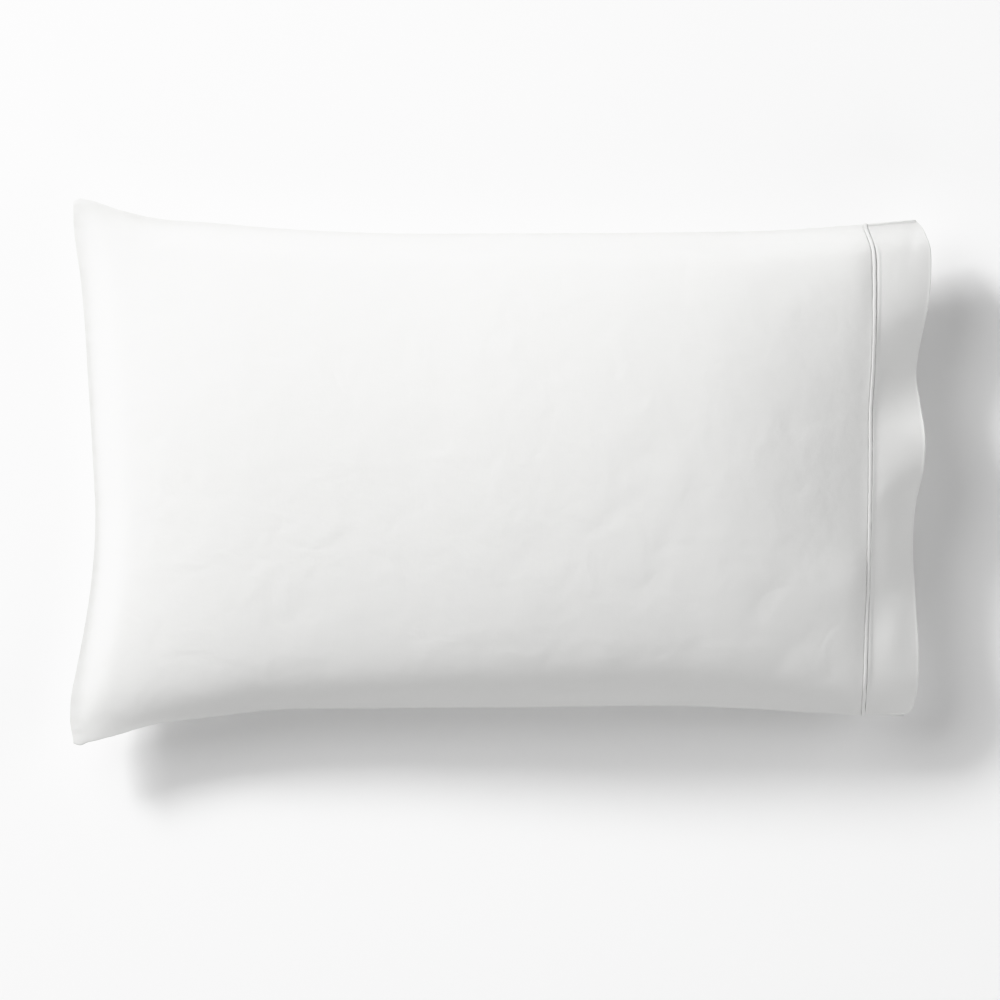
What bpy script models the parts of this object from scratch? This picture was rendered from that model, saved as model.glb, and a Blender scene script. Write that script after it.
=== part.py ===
"""A filled pillowcase lying on its back, with a cuff at its open end.

The case is drawn in along its sides, crowned in the middle and pointed at the two ears of its
closed end. A narrow piping runs round the join, and the cuff stands beyond it as an open sleeve
whose free edge falls in uneven waves.

Metres, +Z up. +X runs from the closed end to the open one, and +Y to the far side. The origin is
on the surface under the middle of the part.
"""
import bmesh
import bpy
import numpy as np

# Driving dimensions of the filled case
EAR_LINE = -0.3962         # x of the closed end's outermost points
JOIN = 0.3398              # x of the line where the cuff is sewn on
JOIN_LEAN = 0.0080         # how much nearer the closed end the join lies underneath
CASE_LENGTH = JOIN - EAR_LINE
SEAM_THICK = 0.0024        # the turned seam at the closed end and the sides
CUFF_THICK = 0.0020        # the cuff's doubled cloth
PIPING_WIDTH = 0.0034
PIPING_PROUD = 0.0016      # how far the piping stands out of the cloth
PIPING_SHOULDER = 0.35     # the share of that height where its rounded top begins
PIPING_ROOT = 0.0010       # how far it goes into the seam
CUFF_DEPTH = 0.052         # from the join to the free edge, along the cloth
PIECE_GAP = 0.0003         # between pieces that meet
NEARBY = 0.010             # how far each way the cloth's direction at the join is taken from

# How full the case is
SIDE_POWER = 2.0           # how full a section is across, 2 being an ellipse
FAR_ROUND = 0.60           # the far half of a section: 0.5 gives a rounded side, 1 a pointed one
NEAR_ROUND = 0.47          # and the near half
EAR_POINTED = 0.50         # what the ears add to both
EAR_REACH = 0.060          # how fast the ears' pointedness fades along the case
END_REACH = 0.378          # how far from the closed end the case reaches its full height
UNDER_REACH = 0.160        # and its lowest underside
END_POWER = 2.2
END_ROUND = 0.50
SEAM_LIP = 0.0020          # the flat edge along the closed seam, before the case begins to rise
END_SLACK = 0.0170         # how far the slack cloth beside the closed seam lies nearly level
FAR_SLACK = 0.0130         # and that beside the far side's fold
NEAR_SLACK = 0.0100        # how fast that beside the near side's fold tightens
HALF_WIDTH = 0.220         # from the middle of the filled case to its side folds
EDGE_SOFT = 6.0            # how quickly the seam's thickness is reached from its edge
SEAM_FADE = 3.0            # how fast the closed seam's bow fades along the case
JOIN_FADE = 4.0            # and the join's

# The filling's end, seen through the mouth
END_INSET = 0.0030         # how far the end steps in under the piping
END_BULGE = 0.014
END_ROUNDED = 1.4          # 1 gives the end flat slopes, 2 a round nose
END_NARROW = 0.93          # the end's width where it reaches farthest out
END_EDGE = 0.06            # what is left of its height there

# Steps of the grids
STEPS_AROUND = 64
EVEN_OUT = 0.2             # draws points from the side folds to the middle
STEPS_ALONG = 46
ENDS_CLOSER = 0.45         # how much closer together the sections are at the ends, 0 being even
SEAM_CLOSER = 1.2          # and how much more at the closed end, 1 being no more
STEPS_CUFF = 6
STEPS_END = 5
STEPS_PIPING = 8

# The outline from above, a row for each section: distance from the ear line, the far and the near
# side's y, and the height of each side's fold above the surface.
OUTLINE = np.array([
    (0.000, 0.2500, -0.2500, 0.0535, 0.0570),
    (0.005, 0.2520, -0.2519, 0.0535, 0.0570),
    (0.013, 0.2512, -0.2497, 0.0535, 0.0565),
    (0.042, 0.2420, -0.2425, 0.0530, 0.0550),
    (0.072, 0.2348, -0.2340, 0.0525, 0.0560),
    (0.129, 0.2298, -0.2262, 0.0520, 0.0570),
    (0.184, 0.2251, -0.2200, 0.0520, 0.0575),
    (0.268, 0.2207, -0.2182, 0.0520, 0.0575),
    (0.416, 0.2200, -0.2172, 0.0520, 0.0575),
    (0.580, 0.2212, -0.2162, 0.0520, 0.0575),
    (0.638, 0.2222, -0.2188, 0.0530, 0.0580),
    (0.692, 0.2250, -0.2222, 0.0555, 0.0585),
    (0.736, 0.2282, -0.2245, 0.0590, 0.0595),
], dtype=[("along", float), ("far", float), ("near", float), ("far_rim", float),
          ("near_rim", float)])

# Heights along the middle: the crown, and the underside, which is flat where it would be below 0.
PROFILE = np.array([
    (0.000, 0.1220, -0.012),
    (0.129, 0.1222, -0.012),
    (0.200, 0.1235, -0.012),
    (0.300, 0.1290, -0.012),
    (0.416, 0.1396, -0.012),
    (0.500, 0.1435, -0.012),
    (0.560, 0.1424, -0.012),
    (0.611, 0.1378, -0.011),
    (0.641, 0.1318, -0.006),
    (0.666, 0.1247, -0.001),
    (0.696, 0.1140, 0.002),
    (0.716, 0.1055, 0.006),
    (0.736, 0.0955, 0.010),
], dtype=[("along", float), ("crown", float), ("under", float)])

# How far the closed seam lies inside the ear line, and the join beyond its mean line, across.
END_LINES = np.array([
    (-0.252, 0.0035, -0.0055),
    (-0.228, 0.0000, -0.0055),
    (-0.210, 0.0005, -0.0050),
    (-0.183, 0.0055, -0.0042),
    (-0.145, 0.0128, -0.0035),
    (-0.099, 0.0196, -0.0020),
    (-0.050, 0.0229, -0.0008),
    (0.015, 0.0205, 0.0000),
    (0.057, 0.0180, 0.0002),
    (0.098, 0.0155, 0.0026),
    (0.145, 0.0125, 0.0040),
    (0.181, 0.0090, 0.0042),
    (0.205, 0.0055, 0.0032),
    (0.227, 0.0030, -0.0035),
    (0.252, 0.0025, -0.0040),
], dtype=[("across", float), ("seam", float), ("join", float)])

# The cuff's free edge, across: how far it reaches out from the join and falls below it, on both
# layers, and how much more of the fall comes near the join than near the edge.
CUFF_TOP = np.array([
    (-0.225, 0.0370, 0.0060, 0.00),
    (-0.221, 0.0428, 0.0085, 0.00),
    (-0.212, 0.0462, 0.0125, -0.20),
    (-0.185, 0.0489, 0.0170, -0.60),
    (-0.158, 0.0483, 0.0205, -0.60),
    (-0.112, 0.0441, 0.0265, -0.40),
    (-0.075, 0.0412, 0.0305, -0.45),
    (-0.031, 0.0426, 0.0290, -0.50),
    (0.008, 0.0495, 0.0160, -0.30),
    (0.035, 0.0502, 0.0130, -0.10),
    (0.062, 0.0460, 0.0230, -0.05),
    (0.089, 0.0408, 0.0310, 0.00),
    (0.122, 0.0440, 0.0285, -0.15),
    (0.149, 0.0492, 0.0205, -0.30),
    (0.190, 0.0523, 0.0110, -0.35),
    (0.212, 0.0515, 0.0075, -0.20),
    (0.222, 0.0502, 0.0055, 0.00),
    (0.229, 0.0450, 0.0050, 0.00),
], dtype=[("across", float), ("reach", float), ("fall", float), ("curl", float)])
CUFF_UNDER = np.array([
    (-0.225, 0.0370, 0.0060, 0.00),
    (-0.221, 0.0380, 0.0055, 0.10),
    (-0.196, 0.0400, 0.0045, 0.30),
    (-0.145, 0.0450, 0.0060, 0.35),
    (-0.085, 0.0460, 0.0015, 0.35),
    (-0.020, 0.0455, 0.0065, 0.35),
    (0.050, 0.0465, 0.0010, 0.35),
    (0.120, 0.0455, 0.0060, 0.35),
    (0.180, 0.0470, 0.0020, 0.35),
    (0.222, 0.0465, 0.0045, 0.10),
    (0.229, 0.0450, 0.0050, 0.00),
], dtype=[("across", float), ("reach", float), ("fall", float), ("curl", float)])
CUFF_FLARE = 0.0045        # how far the cuff spreads at the far side of its free edge

WHITE_COTTON = (0.86, 0.86, 0.85, 1.0)


def clear_scene():
    for thing in list(bpy.data.objects):
        bpy.data.objects.remove(thing)


def cotton(name, roughness):
    """Plain white woven cotton."""
    material = bpy.data.materials.new(name)
    material.use_nodes = True
    shader = material.node_tree.nodes["Principled BSDF"]
    shader.inputs["Base Color"].default_value = WHITE_COTTON
    shader.inputs["Roughness"].default_value = roughness
    shader.inputs["Metallic"].default_value = 0.0
    return material


def curve_through(table, key, column, places):
    """Read a column on a smooth curve through the table's rows, held level past its ends."""
    stations = table[key]
    values = table[column]
    slopes = np.gradient(values, stations)
    at = np.clip(places, stations[0], stations[-1])
    row = np.clip(np.searchsorted(stations, at) - 1, 0, len(stations) - 2)
    step = stations[row + 1] - stations[row]
    t = (at - stations[row]) / step
    start = (1.0 + 2.0 * t) * (1.0 - t) ** 2 * values[row]
    end = (3.0 - 2.0 * t) * t ** 2 * values[row + 1]
    lean = (t * (1.0 - t) ** 2 * slopes[row] - t ** 2 * (1.0 - t) * slopes[row + 1]) * step
    return start + end + lean


def around_steps():
    """Angles round a section, from the far side over the top to the near side and back below."""
    even = np.arange(STEPS_AROUND) * 2.0 * np.pi / STEPS_AROUND
    return even + EVEN_OUT * np.sin(2.0 * even)


def arch_at(along, around):
    """How much of the way from the side folds to the crown a section has risen, from 0 to 1.

    The slack cloth beside the closed seam and the side folds lies lower than the rest."""
    from_seam = max(along - SEAM_LIP, 0.0)
    reach = np.where(around <= np.pi, END_REACH, UNDER_REACH)
    to_end = np.clip(1.0 - from_seam / reach, 0.0, 1.0)
    swell = (1.0 - to_end ** END_POWER) ** END_ROUND * (1.0 - np.exp(-(from_seam / END_SLACK) ** 2))
    side = np.cos(around)
    across = np.abs(side)
    pointed = np.where(side > 0.0, FAR_ROUND, NEAR_ROUND) + EAR_POINTED * np.exp(-along / EAR_REACH)
    from_side = HALF_WIDTH * (1.0 - across)
    slack = np.where(side > 0.0, (from_side / FAR_SLACK) ** 2, from_side / NEAR_SLACK)
    bow = (1.0 - across ** SIDE_POWER) ** pointed * (1.0 - np.exp(-slack))
    return swell * bow


def case_loop(along, around):
    """One section of the case: points round it at a distance from the ear line."""
    side = np.cos(around)
    upper = around <= np.pi
    far = curve_through(OUTLINE, "along", "far", along)
    near = curve_through(OUTLINE, "along", "near", along)
    far_rim = curve_through(OUTLINE, "along", "far_rim", along)
    near_rim = curve_through(OUTLINE, "along", "near_rim", along)
    crown = curve_through(PROFILE, "along", "crown", along)
    under = curve_through(PROFILE, "along", "under", along)

    y = (far + near) / 2.0 + (far - near) / 2.0 * side
    rim = (far_rim + near_rim) / 2.0 + (far_rim - near_rim) / 2.0 * side
    arch = arch_at(along, around)
    edge = SEAM_THICK / 2.0 * (1.0 - (1.0 - np.abs(np.sin(around))) ** EDGE_SOFT)

    seam_line = curve_through(END_LINES, "across", "seam", y)
    join_line = curve_through(END_LINES, "across", "join", y)
    run = along / CASE_LENGTH
    join_line = join_line - JOIN_LEAN * np.where(upper, 0.0, arch)
    x = EAR_LINE + along + seam_line * (1.0 - run) ** SEAM_FADE + join_line * run ** JOIN_FADE
    top = rim + (crown - rim) * arch + edge
    bottom = np.maximum(rim - (rim - under) * arch - edge, 0.0)
    return np.column_stack([x, y, np.where(upper, top, bottom)])


def cuff_loop(out, around):
    """One section of the cuff, from 0 at the join to 1 at its free edge."""
    join = case_loop(CASE_LENGTH, around)
    side = np.cos(around)
    upper = around <= np.pi
    across = join[:, 1]
    reach = np.where(upper, curve_through(CUFF_TOP, "across", "reach", across),
                     curve_through(CUFF_UNDER, "across", "reach", across))
    fall = np.where(upper, curve_through(CUFF_TOP, "across", "fall", across),
                    curve_through(CUFF_UNDER, "across", "fall", across))
    curl = np.where(upper, curve_through(CUFF_TOP, "across", "curl", across),
                    curve_through(CUFF_UNDER, "across", "curl", across))
    loop = join.copy()
    loop[:, 0] += reach * out
    loop[:, 1] += CUFF_FLARE * out * np.maximum(side, 0.0) ** 2
    loop[:, 2] -= fall * out * (1.0 + curl * (1.0 - out))
    return loop


def unit(vectors):
    return vectors / np.linalg.norm(vectors, axis=1, keepdims=True)


def join_frame(around):
    """The join's points, with the directions along the cloth to the cuff and out of the cloth."""
    middle = case_loop(CASE_LENGTH, around)
    before = case_loop(CASE_LENGTH - NEARBY, around)
    beyond = cuff_loop(NEARBY / CUFF_DEPTH, around)
    onward = unit(unit(middle - before) + unit(beyond - middle))
    round_it = unit(np.roll(middle, -1, axis=0) - np.roll(middle, 1, axis=0))
    outward = unit(np.cross(round_it, onward))
    return middle, onward, outward


def skin(rings, body):
    """Faces between each loop of points and the next."""
    count = len(rings[0])
    for ring, following in zip(rings[:-1], rings[1:]):
        for i in range(count):
            j = (i + 1) % count
            body.faces.new((ring[i], ring[j], following[j], following[i]))


def close_across(ring, body):
    """Close a loop with a strip of faces from its upper half to its lower half."""
    half = len(ring) // 2
    lower = ring[:1] + ring[:half - 1:-1]
    body.faces.new((ring[0], ring[1], lower[1]))
    for i in range(1, half - 1):
        body.faces.new((ring[i], ring[i + 1], lower[i + 1], lower[i]))
    body.faces.new((ring[half - 1], ring[half], lower[half - 1]))


def lofted(name, loops, ends, material):
    """A smooth surface through a row of loops, whose ends are "closed", "open" or "joined"."""
    body = bmesh.new()
    rings = [[body.verts.new(point) for point in loop] for loop in loops]
    if ends == "joined":
        rings.append(rings[0])
    skin(rings, body)
    if ends == "closed":
        close_across(rings[0], body)
        close_across(rings[-1], body)
    bmesh.ops.recalc_face_normals(body, faces=body.faces)
    mesh = bpy.data.meshes.new(name)
    body.to_mesh(mesh)
    body.free()
    mesh.materials.append(material)
    mesh.shade_smooth()
    thing = bpy.data.objects.new(name, mesh)
    bpy.context.scene.collection.objects.link(thing)
    return thing


def case_stations():
    """Distances of the case's sections from the ear line, closest together at the seam."""
    even = np.linspace(0.0, 1.0, STEPS_ALONG)
    closer = even - ENDS_CLOSER * np.sin(2.0 * np.pi * even) / (2.0 * np.pi)
    return CASE_LENGTH * closer ** SEAM_CLOSER


def filled_case(around):
    """The case, from its closed seam to the rounded end of the filling inside the cuff."""
    middle, onward, outward = join_frame(around)
    loops = [case_loop(along, around) for along in case_stations()[:-1]]
    edge = middle - onward * (PIPING_WIDTH / 2.0 + PIECE_GAP)
    inner = edge - outward * END_INSET
    loops += [edge, inner]
    level = (inner + inner[-np.arange(STEPS_AROUND)]) / 2.0
    for share in np.linspace(1.0, 0.0, STEPS_END + 1)[1:]:
        thick = max(share, END_EDGE)
        loop = level + (inner - level) * thick
        loop[:, 1] = inner[:, 1] * (END_NARROW + (1.0 - END_NARROW) * share)
        loop[:, 0] = inner[:, 0] + END_BULGE * (1.0 - share ** END_ROUNDED)
        loops.append(loop)
    return lofted("case_body", loops, "closed", cotton("case_cotton", 0.75))


def piping(around):
    """The narrow cord of folded cloth round the join: flat sides and a rounded top."""
    middle, onward, outward = join_frame(around)
    half = PIPING_WIDTH / 2.0
    angles = np.linspace(0.0, np.pi, STEPS_PIPING - 1)
    across = np.concatenate([np.cos(angles), [-1.0, 1.0]]) * half
    shoulder = PIPING_PROUD * PIPING_SHOULDER
    up = np.concatenate([shoulder + (PIPING_PROUD - shoulder) * np.sin(angles),
                         [-PIPING_ROOT, -PIPING_ROOT]])
    loops = [middle + onward * a + outward * b for a, b in zip(across, up)]
    return lofted("piping", loops, "joined", cotton("piping_cotton", 0.70))


def cuff(around):
    """The cuff: one open sleeve of doubled cloth."""
    middle, onward, outward = join_frame(around)
    outs = np.linspace(0.0, 1.0, STEPS_CUFF + 1)[1:]
    loops = [middle + onward * (PIPING_WIDTH / 2.0 + PIECE_GAP)]
    loops += [cuff_loop(out, around) for out in outs]
    sleeve = lofted("cuff", loops, "open", cotton("cuff_cotton", 0.75))
    cloth = sleeve.modifiers.new("doubled cloth", "SOLIDIFY")
    cloth.thickness = CUFF_THICK
    cloth.offset = -1.0
    return sleeve


def main():
    clear_scene()
    around = around_steps()
    filled_case(around)
    piping(around)
    cuff(around)


main()
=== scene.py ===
"""A filled white pillowcase with a piped cuff: its finished surfaces, its stage and the camera.

The case lies on its back on a pale floor. It is drawn in along its sides, crowned in the middle and
pointed at the two ears of its closed end. A narrow piping runs round the join, and the cuff stands
beyond it as an open sleeve whose free edge falls in uneven waves.

Metres, +Z up. +X runs from the closed end to the open one, and +Y to the far side.
"""

import bpy
import numpy as np
from bpy.props import FloatProperty, FloatVectorProperty, PointerProperty
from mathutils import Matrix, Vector


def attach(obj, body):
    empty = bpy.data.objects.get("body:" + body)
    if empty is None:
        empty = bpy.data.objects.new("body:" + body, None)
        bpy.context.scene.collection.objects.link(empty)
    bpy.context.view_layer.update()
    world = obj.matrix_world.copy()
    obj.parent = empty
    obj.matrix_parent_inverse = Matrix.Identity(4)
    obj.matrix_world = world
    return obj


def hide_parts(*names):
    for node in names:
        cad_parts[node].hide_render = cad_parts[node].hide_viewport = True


bl_info = {
    "name": "Filled pillowcase",
    "version": (1, 0, 0),
    "blender": (4, 5, 0),
    "location": "View3D > Sidebar > Pillowcase",
    "description": "Builds a filled pillowcase with a piped cuff, and the stage that it lies on",
    "category": "Object",
}

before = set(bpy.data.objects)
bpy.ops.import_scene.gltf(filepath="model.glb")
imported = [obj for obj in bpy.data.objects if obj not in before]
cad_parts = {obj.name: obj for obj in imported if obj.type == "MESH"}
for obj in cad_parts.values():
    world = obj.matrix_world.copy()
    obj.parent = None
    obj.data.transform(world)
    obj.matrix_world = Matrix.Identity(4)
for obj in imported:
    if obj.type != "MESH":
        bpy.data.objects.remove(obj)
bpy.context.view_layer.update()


def short_table(columns, rows):
    """A short table of numbers with named columns."""
    return np.array(rows, dtype=[(name, float) for name in columns.split()])


# Lengths of the case, as its solids have them
EAR_LINE = -0.3962  # x of the closed end's outermost points
JOIN = 0.3398  # x of the line where the cuff is sewn on
JOIN_LEAN = 0.0080  # how much nearer the closed end the join lies underneath
CASE_LENGTH = JOIN - EAR_LINE
FLAT_WIDTH = 0.508  # the case cut flat
SEAM_THICK = 0.0024  # the turned seam at the closed end and the sides
CUFF_DEPTH = 0.052  # from the join to the free edge, along the cloth
PIECE_GAP = 0.0003  # between pieces that meet
NEARBY = 0.010  # how far each way the cloth's direction at the join is taken from

# How full the case is
SIDE_POWER = 2.0  # how full a section is across, 2 being an ellipse
FAR_ROUND = 0.60  # the far half of a section: 0.5 gives a rounded side, 1 a pointed one
NEAR_ROUND = 0.47  # and the near half
EAR_POINTED = 0.50  # what the ears add to both
EAR_REACH = 0.060  # how fast the ears' pointedness fades along the case
END_REACH = 0.378  # how far from the closed end the case reaches its full height
UNDER_REACH = 0.160  # and its lowest underside
END_POWER = 2.2  # how early the crown levels off
END_ROUND = 0.50  # how steeply it starts, 0.5 being a rounded end
SEAM_LIP = 0.0020  # the flat edge along the closed seam, before the case begins to rise
END_SLACK = 0.0170  # how far the slack cloth beside the closed seam lies nearly level
FAR_SLACK = 0.0130  # and that beside the far side's fold
NEAR_SLACK = 0.0100  # how fast that beside the near side's fold tightens
HALF_WIDTH = 0.220  # from the middle of the filled case to its side folds
EDGE_SOFT = 6.0  # how quickly the seam's thickness is reached from its edge
SEAM_FADE = 3.0  # how fast the closed seam's bow fades along the case
JOIN_FADE = 4.0  # and the join's

# The filling's end, seen through the mouth
END_INSET = 0.0030  # how far the end steps in under the piping
END_BULGE = 0.014
END_ROUNDED = 1.4  # 1 gives the end flat slopes, 2 a round nose
END_NARROW = 0.93  # the end's width where it reaches farthest out
END_EDGE = 0.04  # what is left of its height there

# Steps of the grids
CASE_AROUND = 336
CASE_ALONG = 240
ENDS_CLOSER = 0.62  # how much closer together the sections are at the ends, 0 being even
SEAM_CLOSER = 1.1  # and how much more at the closed end, 1 being no more
END_STEPS = 10
TRIM_AROUND = 720
EVEN_OUT = 0.2  # draws points from the side folds to the middle
CUFF_ALONG = 30
EDGE_STEPS = 6
PIPING_STEPS = 14
STITCH_SIDES = 6
STITCH_RINGS = 5
STITCH_OUT = 0.0012  # from the piping's side to the row of stitches
STITCH_BLUNT = 0.04  # the square of a stitch's width at its tips, 1 being its full width

# The outline from above, a row for each section: distance from the ear line, the far and the near
# side's y, and the height of each side's fold above the surface.
OUTLINE = short_table("along far near far_rim near_rim", [
    (0.000, 0.2500, -0.2500, 0.0535, 0.0570),
    (0.005, 0.2520, -0.2519, 0.0535, 0.0570),
    (0.013, 0.2512, -0.2497, 0.0535, 0.0565),
    (0.042, 0.2420, -0.2425, 0.0530, 0.0550),
    (0.072, 0.2348, -0.2340, 0.0525, 0.0560),
    (0.129, 0.2298, -0.2262, 0.0520, 0.0570),
    (0.184, 0.2251, -0.2200, 0.0520, 0.0575),
    (0.268, 0.2207, -0.2182, 0.0520, 0.0575),
    (0.416, 0.2200, -0.2172, 0.0520, 0.0575),
    (0.580, 0.2212, -0.2162, 0.0520, 0.0575),
    (0.638, 0.2222, -0.2188, 0.0530, 0.0580),
    (0.692, 0.2250, -0.2222, 0.0555, 0.0585),
    (0.736, 0.2282, -0.2245, 0.0590, 0.0595),
])

# Heights along the middle: the crown, and the underside, which is flat where it would be below 0.
PROFILE = short_table("along crown under", [
    (0.000, 0.1220, -0.012),
    (0.129, 0.1222, -0.012),
    (0.200, 0.1235, -0.012),
    (0.300, 0.1290, -0.012),
    (0.416, 0.1396, -0.012),
    (0.500, 0.1435, -0.012),
    (0.560, 0.1424, -0.012),
    (0.611, 0.1378, -0.011),
    (0.641, 0.1318, -0.006),
    (0.666, 0.1247, -0.001),
    (0.696, 0.1140, 0.002),
    (0.716, 0.1055, 0.006),
    (0.736, 0.0955, 0.010),
])

# How far the closed seam lies inside the ear line, and the join beyond its mean line, across.
END_LINES = short_table("across seam join", [
    (-0.252, 0.0035, -0.0055),
    (-0.228, 0.0000, -0.0055),
    (-0.210, 0.0005, -0.0050),
    (-0.183, 0.0055, -0.0042),
    (-0.145, 0.0128, -0.0035),
    (-0.099, 0.0196, -0.0020),
    (-0.050, 0.0229, -0.0008),
    (0.015, 0.0205, 0.0000),
    (0.057, 0.0180, 0.0002),
    (0.098, 0.0155, 0.0026),
    (0.145, 0.0125, 0.0040),
    (0.181, 0.0090, 0.0042),
    (0.205, 0.0055, 0.0032),
    (0.227, 0.0030, -0.0035),
    (0.252, 0.0025, -0.0040),
])

# The cuff's free edge, across: how far it reaches out from the join and falls below it, on both
# layers, and how much more of the fall comes near the join than near the edge.
CUFF_TOP = short_table("across reach fall curl", [
    (-0.225, 0.0370, 0.0060, 0.00),
    (-0.221, 0.0428, 0.0085, 0.00),
    (-0.212, 0.0462, 0.0125, -0.20),
    (-0.185, 0.0489, 0.0140, -0.25),
    (-0.158, 0.0483, 0.0152, -0.15),
    (-0.112, 0.0441, 0.0255, -0.35),
    (-0.075, 0.0412, 0.0305, -0.45),
    (-0.031, 0.0426, 0.0290, -0.50),
    (0.008, 0.0495, 0.0160, -0.30),
    (0.035, 0.0502, 0.0130, 0.15),
    (0.062, 0.0460, 0.0230, 0.10),
    (0.089, 0.0408, 0.0310, 0.00),
    (0.122, 0.0440, 0.0275, -0.15),
    (0.149, 0.0492, 0.0185, -0.30),
    (0.190, 0.0523, 0.0110, -0.35),
    (0.212, 0.0515, 0.0075, -0.20),
    (0.222, 0.0502, 0.0070, 0.00),
    (0.229, 0.0450, 0.0070, 0.00),
])
CUFF_UNDER = short_table("across reach fall curl", [
    (-0.225, 0.0370, 0.0060, 0.00),
    (-0.221, 0.0380, 0.0055, 0.10),
    (-0.196, 0.0400, 0.0045, 0.30),
    (-0.145, 0.0450, 0.0060, 0.35),
    (-0.085, 0.0460, 0.0015, 0.35),
    (-0.020, 0.0455, 0.0065, 0.35),
    (0.050, 0.0465, 0.0010, 0.35),
    (0.120, 0.0455, 0.0060, 0.35),
    (0.180, 0.0470, 0.0020, 0.35),
    (0.222, 0.0465, 0.0060, 0.10),
    (0.229, 0.0450, 0.0070, 0.00),
])
CUFF_FLARE = 0.0045  # how far the cuff spreads at the far side of its free edge

# Soft folds in the case's upper side: middle, direction of the long axis in degrees, half sizes and
# depth, which is negative for a ridge.
FOLDS = short_table("x y turn long wide deep", [
    (0.246, -0.118, 55.0, 0.028, 0.012, 0.0009),
    (0.273, -0.159, 38.0, 0.028, 0.009, 0.0007),
    (0.266, 0.038, -70.0, 0.018, 0.009, 0.0005),
    (0.161, -0.006, 60.0, 0.022, 0.016, -0.0005),
    (0.129, 0.013, 40.0, 0.036, 0.012, 0.0004),
    (0.110, -0.037, 40.0, 0.028, 0.011, 0.0005),
    (0.138, -0.109, 50.0, 0.022, 0.011, 0.0006),
    (0.151, -0.070, 60.0, 0.016, 0.011, 0.0005),
    (0.064, -0.151, 55.0, 0.024, 0.016, 0.0007),
    (0.098, -0.171, 45.0, 0.024, 0.013, -0.0007),
    (0.177, -0.170, 60.0, 0.020, 0.013, 0.0007),
    (0.256, -0.181, 45.0, 0.018, 0.008, 0.0006),
    (0.304, -0.183, 60.0, 0.016, 0.008, 0.0006),
    (-0.180, -0.006, 15.0, 0.032, 0.007, -0.0003),
    (-0.212, -0.176, 20.0, 0.026, 0.012, -0.0005),
    (-0.070, -0.170, 30.0, 0.028, 0.014, -0.0005),
    (-0.170, -0.122, 25.0, 0.030, 0.013, 0.0004),
    (-0.055, 0.042, 35.0, 0.022, 0.010, 0.0003),
    (0.020, -0.080, 38.0, 0.034, 0.013, 0.0004),
    (0.055, 0.090, 30.0, 0.040, 0.016, 0.0003),
])

# The same in the cuff's upper layer.
CUFF_FOLDS = short_table("x y turn long wide deep", [
    (0.351, -0.019, 42.0, 0.015, 0.0060, -0.0006),
    (0.364, -0.036, 48.0, 0.018, 0.0075, 0.0008),
    (0.360, -0.058, 86.0, 0.028, 0.0100, -0.0010),
    (0.362, -0.148, 86.0, 0.026, 0.0150, -0.0022),
    (0.358, 0.096, 25.0, 0.016, 0.0060, 0.0006),
    (0.360, -0.110, -4.0, 0.030, 0.0100, 0.0012),
    (0.372, 0.150, -35.0, 0.020, 0.0060, 0.0005),
    (0.380, 0.212, 75.0, 0.018, 0.0060, 0.0007),
])

# Beside the piping, across: how far the case's cloth rises to it and over what distance, how far
# the cuff's rises, how high the cuff's own seam edge stands a little way off it, and how much of
# its height the piping keeps.
JOIN_RISE = short_table("across rise reach cuff_rise edge proud", [
    (-0.225, 0.0003, 0.0040, 0.0003, 0.0000, 0.25),
    (-0.203, 0.0003, 0.0025, 0.0004, 0.0000, 0.30),
    (-0.194, 0.0006, 0.0028, 0.0009, 0.0002, 0.95),
    (-0.160, 0.0007, 0.0028, 0.0009, 0.0004, 1.00),
    (-0.120, 0.0008, 0.0030, 0.0009, 0.0003, 1.00),
    (-0.085, 0.0006, 0.0040, 0.0010, 0.0000, 1.00),
    (-0.030, 0.0006, 0.0060, 0.0010, 0.0000, 1.00),
    (0.020, 0.0006, 0.0060, 0.0010, 0.0000, 1.00),
    (0.080, 0.0006, 0.0045, 0.0010, 0.0000, 1.00),
    (0.122, 0.0007, 0.0035, 0.0008, 0.0002, 1.00),
    (0.160, 0.0005, 0.0030, 0.0003, 0.0005, 1.00),
    (0.195, 0.0003, 0.0025, 0.0002, 0.0005, 1.00),
    (0.210, 0.0002, 0.0025, 0.0002, 0.0002, 0.80),
    (0.229, 0.0001, 0.0025, 0.0000, 0.0000, 0.55),
])
# How much the case's cloth swells up before the join, across: it falls to the join from there.
JOIN_SWELL = short_table("across swell", [
    (-0.222, 0.0000),
    (-0.206, 0.0009),
    (-0.173, 0.0017),
    (-0.136, 0.0027),
    (-0.100, 0.0044),
    (-0.072, 0.0016),
    (-0.045, 0.0000),
    (0.000, -0.0005),
    (0.038, 0.0002),
    (0.103, 0.0007),
    (0.135, 0.0010),
    (0.158, 0.0020),
    (0.200, 0.0022),
    (0.215, 0.0008),
    (0.226, 0.0000),
])
SWELL_AT = 0.020  # the swell's distance from the join
FLOOR_CLEAR = 0.012  # the height by which the relief has faded out above the floor
CUFF_RISE_REACH = 0.0030  # how far from the piping the cuff's rise fades
PIPING_SHOULDER = 0.5  # the share of the piping's height where its rounded top begins
PIPING_ROOT = 0.0010  # how far it goes into the seam
PIPING_SWAY = 0.0002  # how far it wanders from the join's line
SEAM_EDGE_OUT = 0.0044  # from the join's line to the cuff's own seam edge
SEAM_EDGE_WIDE = 0.0006
MEAN_REACH = 0.046  # of the cuff's free edge
EDGE_BEAD = 0.0010  # how far from its free edge the cuff's fold stands out
BEAD_POWER = 8.0  # how suddenly that ends at the side folds
THIN_SHARE = 0.55  # how much thinner the cuff is pressed at its side folds
THIN_REACH = 0.006  # and within what distance of them
INNER_SHARE = 0.5  # how much of the relief thickens the cuff and stays off its inner skin

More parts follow.
